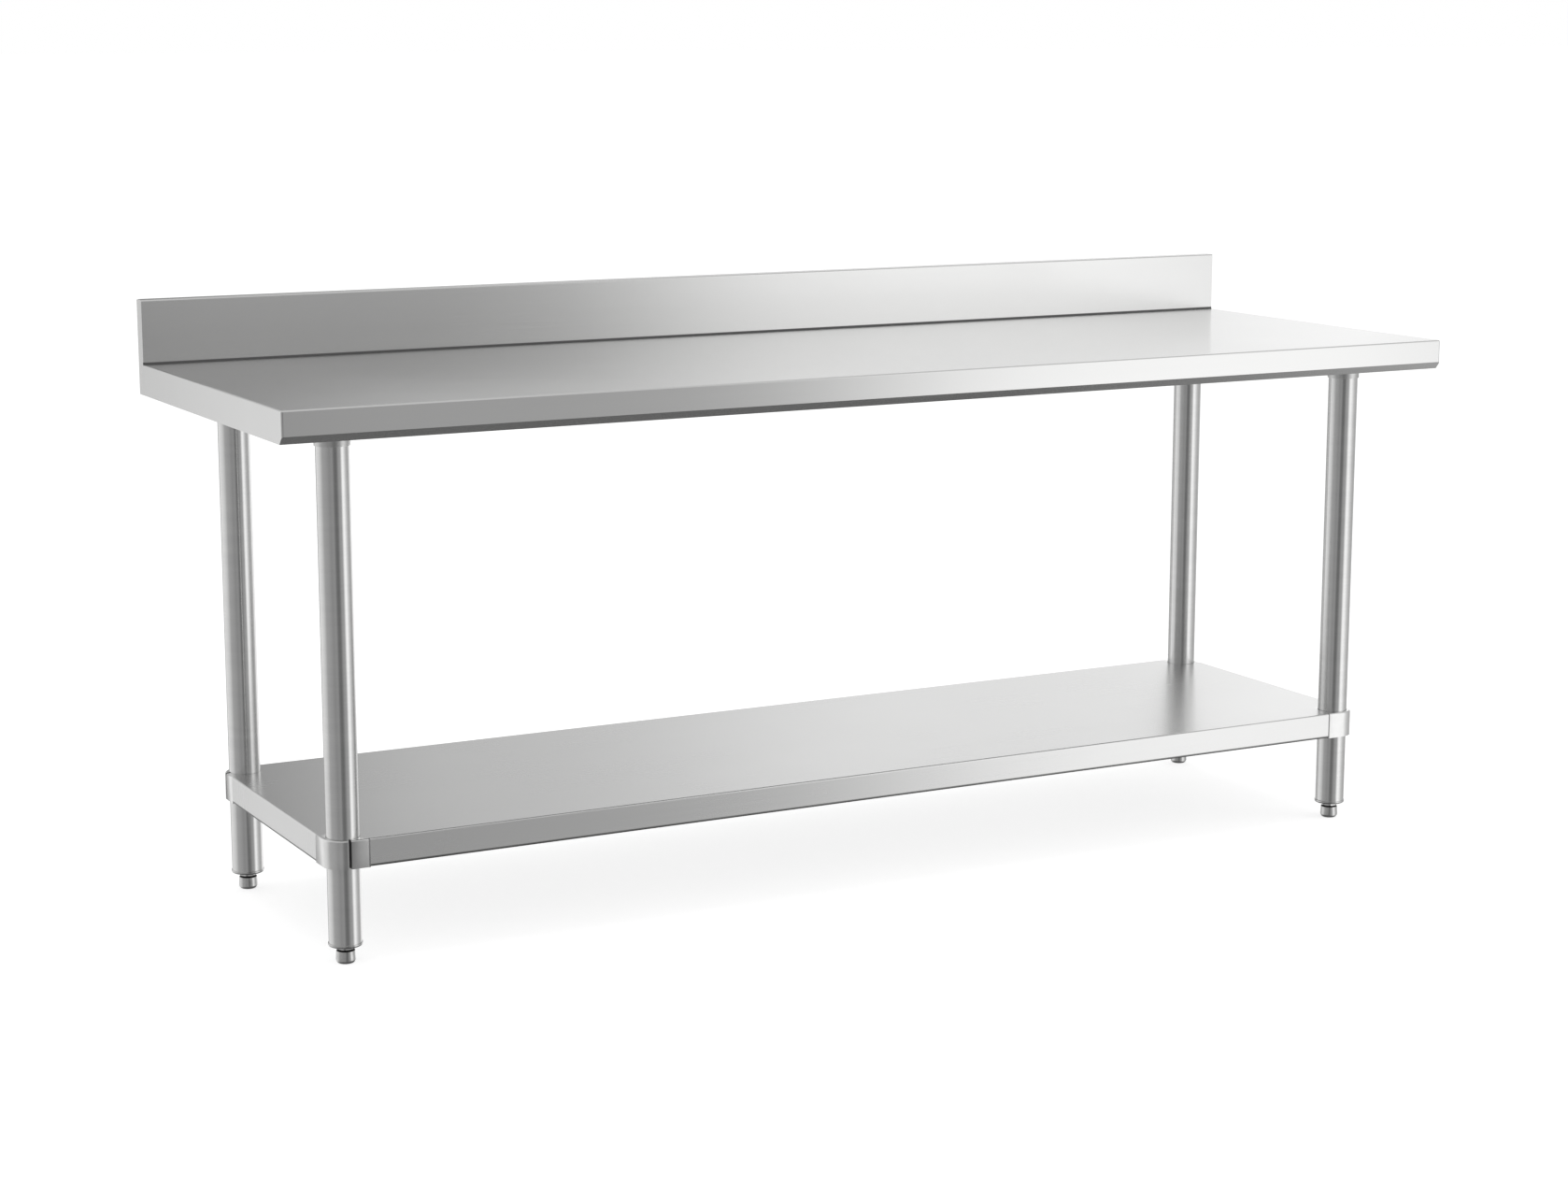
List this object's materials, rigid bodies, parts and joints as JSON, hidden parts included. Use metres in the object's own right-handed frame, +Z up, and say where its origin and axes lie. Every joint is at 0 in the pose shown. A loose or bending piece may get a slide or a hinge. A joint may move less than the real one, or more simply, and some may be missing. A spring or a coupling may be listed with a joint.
{
  "type": "stainless work table",
  "caption": "Long stainless steel kitchen work table with a rear splash, round tube legs on levelling feet and a full undershelf that slides up and down the legs",
  "frame": {"origin": "on the floor under the middle of the table", "axes": "+X along the length to the right of the cook, -Y the front, +Y the splash and wall side, +Z up"},
  "size_m": [2.1, 0.7, 0.968],
  "materials": {
    "worktop_sheet": "stainless sheet with a fine satin grain along the length",
    "shelf_sheet": "stainless sheet with a fine satin grain along the length",
    "leg_tube": "welded stainless tube, smoothly polished along its length",
    "collar_metal": "cast stainless corner, satin polished",
    "socket_steel": "stainless socket, satin, welded",
    "galvanised_channel": "hot dip galvanised folded steel with a faint spangle",
    "foot_metal": "turned metal, bright",
    "plated_fastener": "zinc plated"
  },
  "bodies": {
    "table_frame": {"worktop": "worktop_sheet", "splash_cap_left": "worktop_sheet", "splash_cap_right": "worktop_sheet", "long_channel_front": "galvanised_channel", "long_channel_rear": "galvanised_channel", "cross_channel_left": "galvanised_channel", "cross_channel_right": "galvanised_channel", "channel_studs": "plated_fastener", "channel_nuts": "plated_fastener", "leg_socket_front_left": "socket_steel", "leg_socket_front_right": "socket_steel", "leg_socket_rear_right": "socket_steel", "leg_socket_rear_left": "socket_steel", "socket_set_screws": "plated_fastener", "leg_front_left": "leg_tube", "leg_front_right": "leg_tube", "leg_rear_right": "leg_tube", "leg_rear_left": "leg_tube", "foot_insert_front_left": "foot_metal", "foot_insert_front_right": "foot_metal", "foot_insert_rear_right": "foot_metal", "foot_insert_rear_left": "foot_metal"},
    "shelf_assembly": {"undershelf": "shelf_sheet", "shelf_channel": "galvanised_channel", "shelf_collar_front_left": "collar_metal", "shelf_collar_front_right": "collar_metal", "shelf_collar_rear_right": "collar_metal", "shelf_collar_rear_left": "collar_metal", "collar_set_screws": "plated_fastener"},
    "adjuster_front_left": {"foot_front_left": "foot_metal"},
    "adjuster_front_right": {"foot_front_right": "foot_metal"},
    "adjuster_rear_right": {"foot_rear_right": "foot_metal"},
    "adjuster_rear_left": {"foot_rear_left": "foot_metal"}
  },
  "joints": [
    {"name": "shelf_height", "type": "slide", "parent": "table_frame", "child": "shelf_assembly", "axis": [0, 0, 1], "range_m": [-0.1, 0.4]},
    {"name": "level_front_left", "type": "slide", "parent": "table_frame", "child": "adjuster_front_left", "axis": [0, 0, -1], "range_m": [0, 0.025]},
    {"name": "level_front_right", "type": "slide", "parent": "table_frame", "child": "adjuster_front_right", "axis": [0, 0, -1], "range_m": [0, 0.025]},
    {"name": "level_rear_right", "type": "slide", "parent": "table_frame", "child": "adjuster_rear_right", "axis": [0, 0, -1], "range_m": [0, 0.025]},
    {"name": "level_rear_left", "type": "slide", "parent": "table_frame", "child": "adjuster_rear_left", "axis": [0, 0, -1], "range_m": [0, 0.025]}
  ]
}
